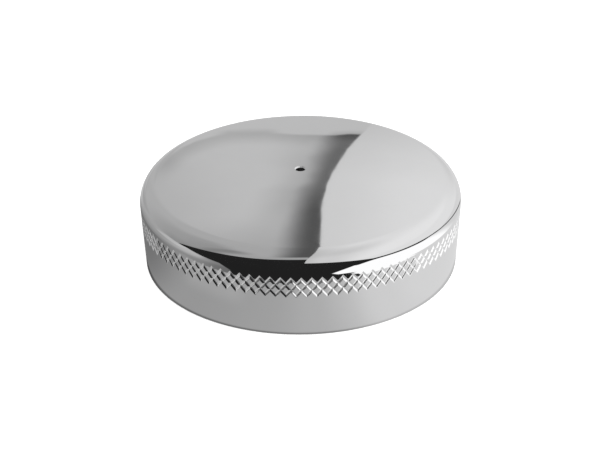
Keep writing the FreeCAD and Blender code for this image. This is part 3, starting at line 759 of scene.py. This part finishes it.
CAMERA_PLACE = Vector((0, -0.3883, 0.2176))
CAMERA_TARGET = Vector((-0.00019, 0, 0.0074))
CAMERA_ROLL = math.radians(-0.57)
CAMERA_LENS, CAMERA_SENSOR = 120.38, 36.0

scene = bpy.context.scene
scene.view_settings.view_transform = "Standard"


def laid_over(base, *layers):
    """Tones laid over one another, in order, each by its mask."""
    for mask, tone in layers:
        base = base + (tone - base) * mask
    return base


def mirrored_light(graph, tone):
    """Light that the chrome shows as this tone."""
    bright = graph.math("POWER", (tone / 255 + TONE_LIFT) / (1 + TONE_LIFT), TONE_GAMMA)
    return (bright / REFLECTANCE).socket


class Direction:
    """A direction above the floor that the chrome mirrors.

    back and front are degrees to the right of the far side and of the camera's side, rise is
    degrees above the horizon, over is degrees up from the far side and over the top, and inside
    is how far the direction lies to the left of the edge between the two walls.
    """

    def __init__(self, graph, x, y, z):
        self.x, self.y = x, y
        self.back, self.front = graph.turn(x, y), graph.turn(x, -y)
        self.rise, self.over = graph.math("ARCSINE", z) * math.degrees(1), graph.turn(z, y)
        middle = (y - BULGE_MIDDLE) / BULGE_REACH
        bulge = graph.larger(1 - middle * middle, 0)
        far = graph.larger(y - BEND_START, 0)
        edge = EDGE_PLACE + far * far * BEND + bulge * (bulge * BULGE_PEAK + BULGE)
        self.inside = edge - x
        self.on_left = graph.smooth(self.inside, -EDGE_SOFTNESS, EDGE_SOFTNESS)


def pale_wall(graph, to):
    """Tone of the wall on the right. It is a little darker low down, high up and at the back."""
    smooth = graph.smooth
    tone = graph.runs(to.x, (0.03, 0.2, 203, 217), (0.2, 0.7, 0, 10))
    tone = tone - graph.runs(to.rise, (55, 75, 0, 8), (30, 22, 0, 5))
    tone = tone - smooth(to.rise, 24, 8, 0, 12) * smooth(to.x, 0.75, 0.3)
    return tone - smooth(to.over, 60, 100, 0, 14) * smooth(to.x, 0.7, 0.3)


def grey_wall(graph, to):
    """Tone of the wall on the left, with a shade beside the edge and a paler base."""
    smooth = graph.smooth
    tone = graph.runs(to.back, (-5, -15, 187, 176), (-15, -30, 0, -6), (-35, -80, 0, -18),
                      (-78, -100, 0, -6), (-100, -110, 0, -18), (-112, -135, 0, 34))
    tone = tone - smooth(to.back, -70, -84) * smooth(to.rise, 25, 5, 0, 9)
    high = smooth(to.rise, 37, 46) * smooth(to.back, -75, -45)
    tone = laid_over(tone, (high, HIGH_TONE), (smooth(to.rise, 54, 70), OVERHEAD_TONE))

    above = above_base(graph, to)
    at_back = smooth(to.y, 0.3, 0.5) * smooth(to.back, -14, -8)
    tone = tone - at_back * smooth(above, 5, 0, 0, 18)
    on_base = at_back * smooth(above, 0.4, -0.4)
    tone = laid_over(tone, edge_shade(graph, to), (on_base, base_tone(graph, to, above)))

    # Where the wall meets the floor, and above its base, it is a little darker
    corner = smooth(to.rise, 6, -1, 0, 9) * smooth(to.back, -14, -20) * smooth(to.back, -56, -48)
    strip = smooth(to.rise, 5, 13, 0, 8) * smooth(to.rise, 25, 20)
    return tone - corner - strip * smooth(to.back, -9, -11) * smooth(to.back, -22, -15)


def edge_shade(graph, to):
    """The shade that darkens the grey wall towards the edge: its mask and its tone."""
    smooth = graph.smooth
    width = smooth(to.rise, 28, 23, 1.15, 1.5) + graph.larger(to.over - 45, 0) / 8
    width = width + graph.runs(to.over, (30, 33, 0, 0.3), (34, 45, 0, 0.8))
    reach = to.inside / width
    tail = graph.smaller(smooth(to.rise, 22, 28, 0.2, 0.35), smooth(to.over, 34, 44, 0.35, 0))
    core = smooth(reach, 0.035, smooth(to.rise, 20, 16, 0.005, 0.012))
    tone = SHADE_TONE - graph.runs(to.rise, (31, 38, 0, 22), (19, 15, 0, 25))
    return core * (1 - tail) + smooth(reach, 0.08, 0) * tail, tone


def above_base(graph, to):
    """Degrees above the upper edge of the base. The edge dips a little beside the standing edge."""
    drop = graph.larger(BASE_TURN - to.back, 0)
    lift = graph.smaller(graph.larger((to.back - BASE_TURN) * BASE_SLOPE, 0), BASE_LIFT)
    dip = graph.smooth(to.inside, 0.035, 0.01, 0, 0.8)
    return to.rise - BASE_RISE - drop * drop * BASE_FALL - lift + dip


def base_tone(graph, to, above):
    """Tone of the base, a little darker under two stretches of its upper edge."""
    stretches = graph.smooth(to.inside, 0.045, 0.03)
    stretches = stretches + graph.smooth(graph.apart(to.inside, 0.14), 0.045, 0.02)
    return BASE_TONE - graph.smooth(above, -2.2, 0, 0, 16) * stretches


def dark_room(graph, to, panel_top):
    """Masks of the dark room behind the camera and of the glint along its upper edge."""
    smooth = graph.smooth

    # Its top is lower on the right of the edge between the walls
    share = to.front / ROOM_WIDTH
    left_top = ROOM_HEIGHT * (1 - share * share)
    right_top = graph.larger(RIGHT_HEIGHT - to.front * to.front * RIGHT_FALL, panel_top + SEAM_HEIGHT)
    over_top = to.rise - laid_over(left_top, (smooth(to.inside, 0.004, -0.004), right_top))

    # It reaches down past the floor, but on the right it ends in a narrowing strip
    short = graph.larger(STEP_END - to.front, 0)
    step = panel_top - STEP_DROP - short * short * STEP_FALL
    bottom = laid_over(STRAIGHT_DOWN, (smooth(to.front, STEP_START, STEP_START + 1.5), step))
    room = smooth(over_top, ROOM_EDGE, -ROOM_EDGE) * smooth(to.rise - bottom, -ROOM_EDGE, ROOM_EDGE)
    room = room * smooth(to.front, 58, 54) * smooth(to.front, -ROOM_WIDTH, -88)
    glint = smooth(over_top, 0.5, 3) * smooth(over_top, 18, 9) * to.on_left
    return room, glint * smooth(to.front, -70, -50) * smooth(to.front, 60, 30)


def room_tone(graph, x, y, z):
    """Painted reflection tone above the floor, by direction, that the chrome mirrors."""
    smooth = graph.smooth
    to = Direction(graph, x, y, z)

    # White panel low on the right, under a narrow dark seam
    panel_top = PANEL_RISE - to.front * to.front * PANEL_FALL
    under_top = panel_top - to.rise
    on_right = smooth(to.front, 25, 30)
    panel = smooth(under_top, -0.4, 0.4) * on_right
    seam = smooth(graph.apart(under_top, SEAM_RISE), 3.2, 2.4) * on_right
    seam = seam * smooth(to.front, 150, 135)

    room, glint = dark_room(graph, to, panel_top)
    return laid_over(pale_wall(graph, to), (to.on_left, grey_wall(graph, to)), (panel, WHITE_TONE),
                     (seam, SEAM_TONE), (glint, GLINT_TONE), (room, ROOM_TONE))


class Spot:
    """A spot of the floor that the chrome mirrors.

    front is degrees to the right of the camera's side, away is the distance from the axis, and
    in_dark is how far the spot lies in front of the left-hand edge of the dark floor.
    """

    def __init__(self, graph, position):
        self.x, self.y = [part / MM for part in graph.parts(position)[:2]]
        self.away, self.front = graph.length(self.x, self.y), graph.turn(self.x, -self.y)
        self.under_cap = graph.smooth(self.away, UNDER_START, UNDER_END)
        self.on_left = graph.smooth(self.x / (graph.larger(self.y, 0) + 4), 1, -1)
        near_line, far_line = [self.x * slope + place for slope, place in (DARK_LEFT, DARK_LEFT_FAR)]
        self.in_dark = graph.larger(near_line, far_line) - self.y


def grey_floor(graph, spot):
    """Painted reflection tone of the floor on the left, farther out."""
    smooth, away, front = graph.smooth, spot.away, spot.front
    tone = graph.runs(away, (48, 75, 130, 152), (75, 130, 0, 8))
    tone = tone + smooth(front, -92, -70) * smooth(away, 54, 84, 1, 20) * smooth(front, -54, -62)
    tone = tone + smooth(front, -112, -132) * smooth(away, 130, 60, 7, 31)
    tone = tone + smooth(front, -104, -98) * smooth(front, -74, -82) * smooth(away, 92, 122, 0, 18)
    corner = smooth(front, -120, -132) * smooth(front, -146, -138)
    tone = tone + corner * smooth(away, 140, 50, -11, 16)
    return tone - smooth(spot.in_dark, -22, -2, 0, 28)


def far_floor(graph, spot):
    """Painted reflection tone of the floor farther out: grey on the left, white on the right as far as
    a seam.
    """
    smooth, x, front = graph.smooth, spot.x, spot.front
    tone = smooth(front, 84, 104, WHITE_TONE, BACK_FLOOR_TONE)
    tone = laid_over(tone, (spot.on_left, grey_floor(graph, spot)))
    past_seam = spot.y - FLOOR_SEAM - x * FLOOR_SEAM_SLOPE
    along = x - FLOOR_SEAM_START
    seam = smooth(graph.apart(past_seam, 0), along * FLOOR_SEAM_WIDTH, along * FLOOR_SEAM_CORE)
    beside = smooth(x, 45, 60)

    # Dark in front, and in a ring close to the cap
    right_edge = DARK_RIGHT + graph.larger(-spot.y - LEAN_START, 0) * LEAN
    dark = smooth(spot.in_dark, -1, 1) * smooth(right_edge - x, -1, 1)
    beyond = graph.larger(front - RING_TURN, 0)
    ring_edge = RING_EDGE - beyond * beyond * RING_FALL
    ring = smooth(spot.away - ring_edge, 0.2, -0.3) * smooth(front, 31, 30) * smooth(front, -34, -31)
    return laid_over(tone, (smooth(past_seam, 0, 6) * beside, PALE_FLOOR_TONE),
                     (seam * beside, SEAM_TONE), (graph.larger(dark, ring), ROOM_TONE))


def near_floor(graph, spot):
    """Painted reflection tone of the floor close to the cap, pale, with a painted shade under the foot.
    """
    smooth, away, front = graph.smooth, spot.away, spot.front
    tone = graph.runs(front, (-92, -52, GREY_FLOOR_TONE, 150), (-50, -5, 0, 10), (-15, 38, 0, 45),
                      (38, 55, 0, 5))
    tone = tone - smooth(graph.apart(front, 15), 16, 5, 0, 6)
    tone = tone + smooth(away, 40, 46, 0, 9) * smooth(graph.apart(front, -42), 20, 10)
    behind = laid_over(PALE_FLOOR_TONE, (spot.on_left, GREY_FLOOR_TONE))
    tone = laid_over(tone, (smooth(spot.y, 0, 10), behind))
    tone = tone - smooth(away, 35.2, 34.6) * smooth(front, 10, 30, 50, 25)
    return laid_over(tone, (spot.under_cap, UNDER_TONE))


def painted_floor_reflection(graph, spot):
    """Painted reflection: what the chrome mirrors of the floor, which is white to the camera."""
    near = graph.smooth(spot.away, NEAR_START, NEAR_END)
    return laid_over(far_floor(graph, spot), (near, near_floor(graph, spot)))


def shader_mix(graph, share, first, second):
    return graph.node("ShaderNodeMixShader", {0: share, 1: first.outputs[0], 2: second.outputs[0]})


def glowing(graph, kind, light, strength=1.0):
    """A shader that gives off this light."""
    return graph.node(kind, {"Color": light, "Strength": strength})


def build_world():
    """White for the camera, painted reflection tones for what is mirrored, and plain light for the
    rest.
    """
    world = bpy.data.worlds.new("studio")
    world.use_nodes = True
    scene.world = world
    graph = Graph(world.node_tree)
    path = graph.node("ShaderNodeLightPath").outputs
    direction = graph.node("ShaderNodeTexCoord").outputs["Generated"]
    tone = room_tone(graph, *graph.parts(direction))
    # The wall, room and panel tones reach mirrored rays only: painted reflections.
    walls = glowing(graph, "ShaderNodeBackground", mirrored_light(graph, tone))
    plain = glowing(graph, "ShaderNodeBackground", WHITE, WALL_LIGHT)
    lit = shader_mix(graph, path["Is Glossy Ray"], plain, walls)
    backdrop = glowing(graph, "ShaderNodeBackground", WHITE)
    seen = shader_mix(graph, path["Is Camera Ray"], lit, backdrop)
    graph.node("ShaderNodeOutputWorld", {0: seen.outputs[0]})


def build_floor():
    """White for the camera, with the cap's shadow on it; for mirrored rays it glows with painted
    reflection tones instead. From below the floor is clear.
    """
    corner = FLOOR_SIZE / 2
    corners = [(-corner, -corner, 0), (corner, -corner, 0), (corner, corner, 0), (-corner, corner, 0)]
    mesh = bpy.data.meshes.new("floor")
    mesh.from_pydata(corners, [], [(0, 1, 2, 3)])
    floor = bpy.data.objects.new("floor", mesh)
    scene.collection.objects.link(floor)
    material = bpy.data.materials.new("floor_paper")
    material.use_nodes = True
    graph = Graph(material.node_tree)
    path = graph.node("ShaderNodeLightPath").outputs
    spot = Spot(graph, graph.node("ShaderNodeTexCoord").outputs["Object"])
    paper = graph.node("ShaderNodeBsdfDiffuse", {"Color": colour(FLOOR_GREY, FLOOR_GREY, FLOOR_GREY)})
    glow = glowing(graph, "ShaderNodeEmission", WHITE, spot.under_cap * UNDER_GLOW + FLOOR_GLOW)
    lit = graph.node("ShaderNodeAddShader", {0: paper.outputs[0], 1: glow.outputs[0]})
    # For mirrored rays the floor glows with its painted reflection tones, not its own white.
    mirrored = glowing(graph, "ShaderNodeEmission", mirrored_light(graph, painted_floor_reflection(graph, spot)))
    seen = shader_mix(graph, path["Is Camera Ray"], paper, lit)
    above = shader_mix(graph, path["Is Glossy Ray"], seen, mirrored)
    below = graph.node("ShaderNodeNewGeometry").outputs["Backfacing"]
    whole = shader_mix(graph, below, above, graph.node("ShaderNodeBsdfTransparent"))
    graph.node("ShaderNodeOutputMaterial", {0: whole.outputs[0]})
    mesh.materials.append(material)


def area_lamp(name, place, size, power):
    """A round lamp that shines at the origin and isn't mirrored."""
    data = bpy.data.lights.new(name, "AREA")
    data.shape = "DISK"
    data.size = size
    data.energy = power
    lamp = bpy.data.objects.new(name, data)
    lamp.location = place
    lamp.rotation_euler = (-Vector(place)).to_track_quat("-Z", "Y").to_euler()
    lamp.visible_glossy = False
    scene.collection.objects.link(lamp)


def build_camera():
    data = bpy.data.cameras.new("camera")
    data.lens = CAMERA_LENS
    data.sensor_width = CAMERA_SENSOR
    data.clip_start = 0.01
    camera = bpy.data.objects.new("camera", data)
    scene.collection.objects.link(camera)
    aim = (CAMERA_TARGET - CAMERA_PLACE).to_track_quat("-Z", "Y").to_matrix().to_4x4()
    roll = Matrix.Rotation(CAMERA_ROLL, 4, "Z")
    camera.matrix_world = Matrix.Translation(CAMERA_PLACE) @ aim @ roll
    scene.camera = camera


build_world()
build_floor()
for lamp in LAMPS:
    area_lamp(*lamp)
build_camera()
